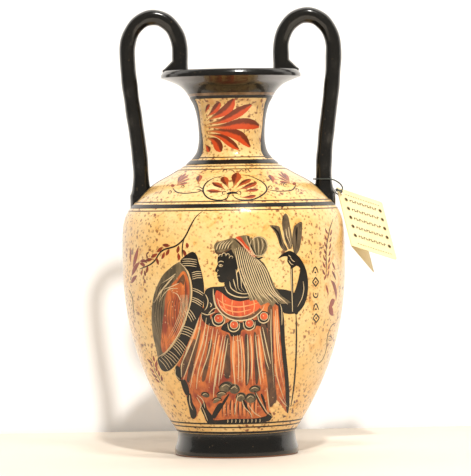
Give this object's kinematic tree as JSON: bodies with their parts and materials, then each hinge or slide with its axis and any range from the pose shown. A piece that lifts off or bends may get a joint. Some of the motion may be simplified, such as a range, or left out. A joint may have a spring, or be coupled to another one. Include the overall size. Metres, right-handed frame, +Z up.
{
  "type": "amphora",
  "caption": "Tall two-handled ceramic amphora with ring foot, round body, flared lip and high looped handles, with a folded swing tag hung on a thread.",
  "frame": {"origin": "centre of the resting ring's underside, on the vessel's axis, where it stands on a table", "axes": "+Z up along the vessel's axis, +X towards the handle that carries the tag, -Y towards the painted front"},
  "size_m": [0.1849, 0.1496, 0.3],
  "materials": {
    "black_glaze": "gloss",
    "cream_slip": "gloss",
    "tag_card": "matte",
    "tag_thread": "matte"
  },
  "bodies": {
    "vessel": {"foot": "black_glaze", "body": "cream_slip", "neck": "cream_slip", "mouth": "black_glaze", "handle_left": "black_glaze", "handle_right": "black_glaze", "tag_cord": "tag_thread", "cord_knot": "tag_thread"},
    "tag_front": {"tag_front_leaf": "tag_card"},
    "tag_back": {"tag_back_leaf": "tag_card"}
  },
  "joints": [
    {"name": "tag_swing", "type": "hinge", "parent": "vessel", "child": "tag_front", "pos_m": [0.0733, 0.003, 0.17493], "axis": [0.6373, -0.5631, 0.5261], "range_deg": [0, 35]},
    {"name": "tag_fold", "type": "hinge", "parent": "tag_front", "child": "tag_back", "pos_m": [0.07441, -0.01012, 0.15893], "axis": [-0.1741, 0.5599, 0.8101], "range_deg": [-26, 2]}
  ]
}
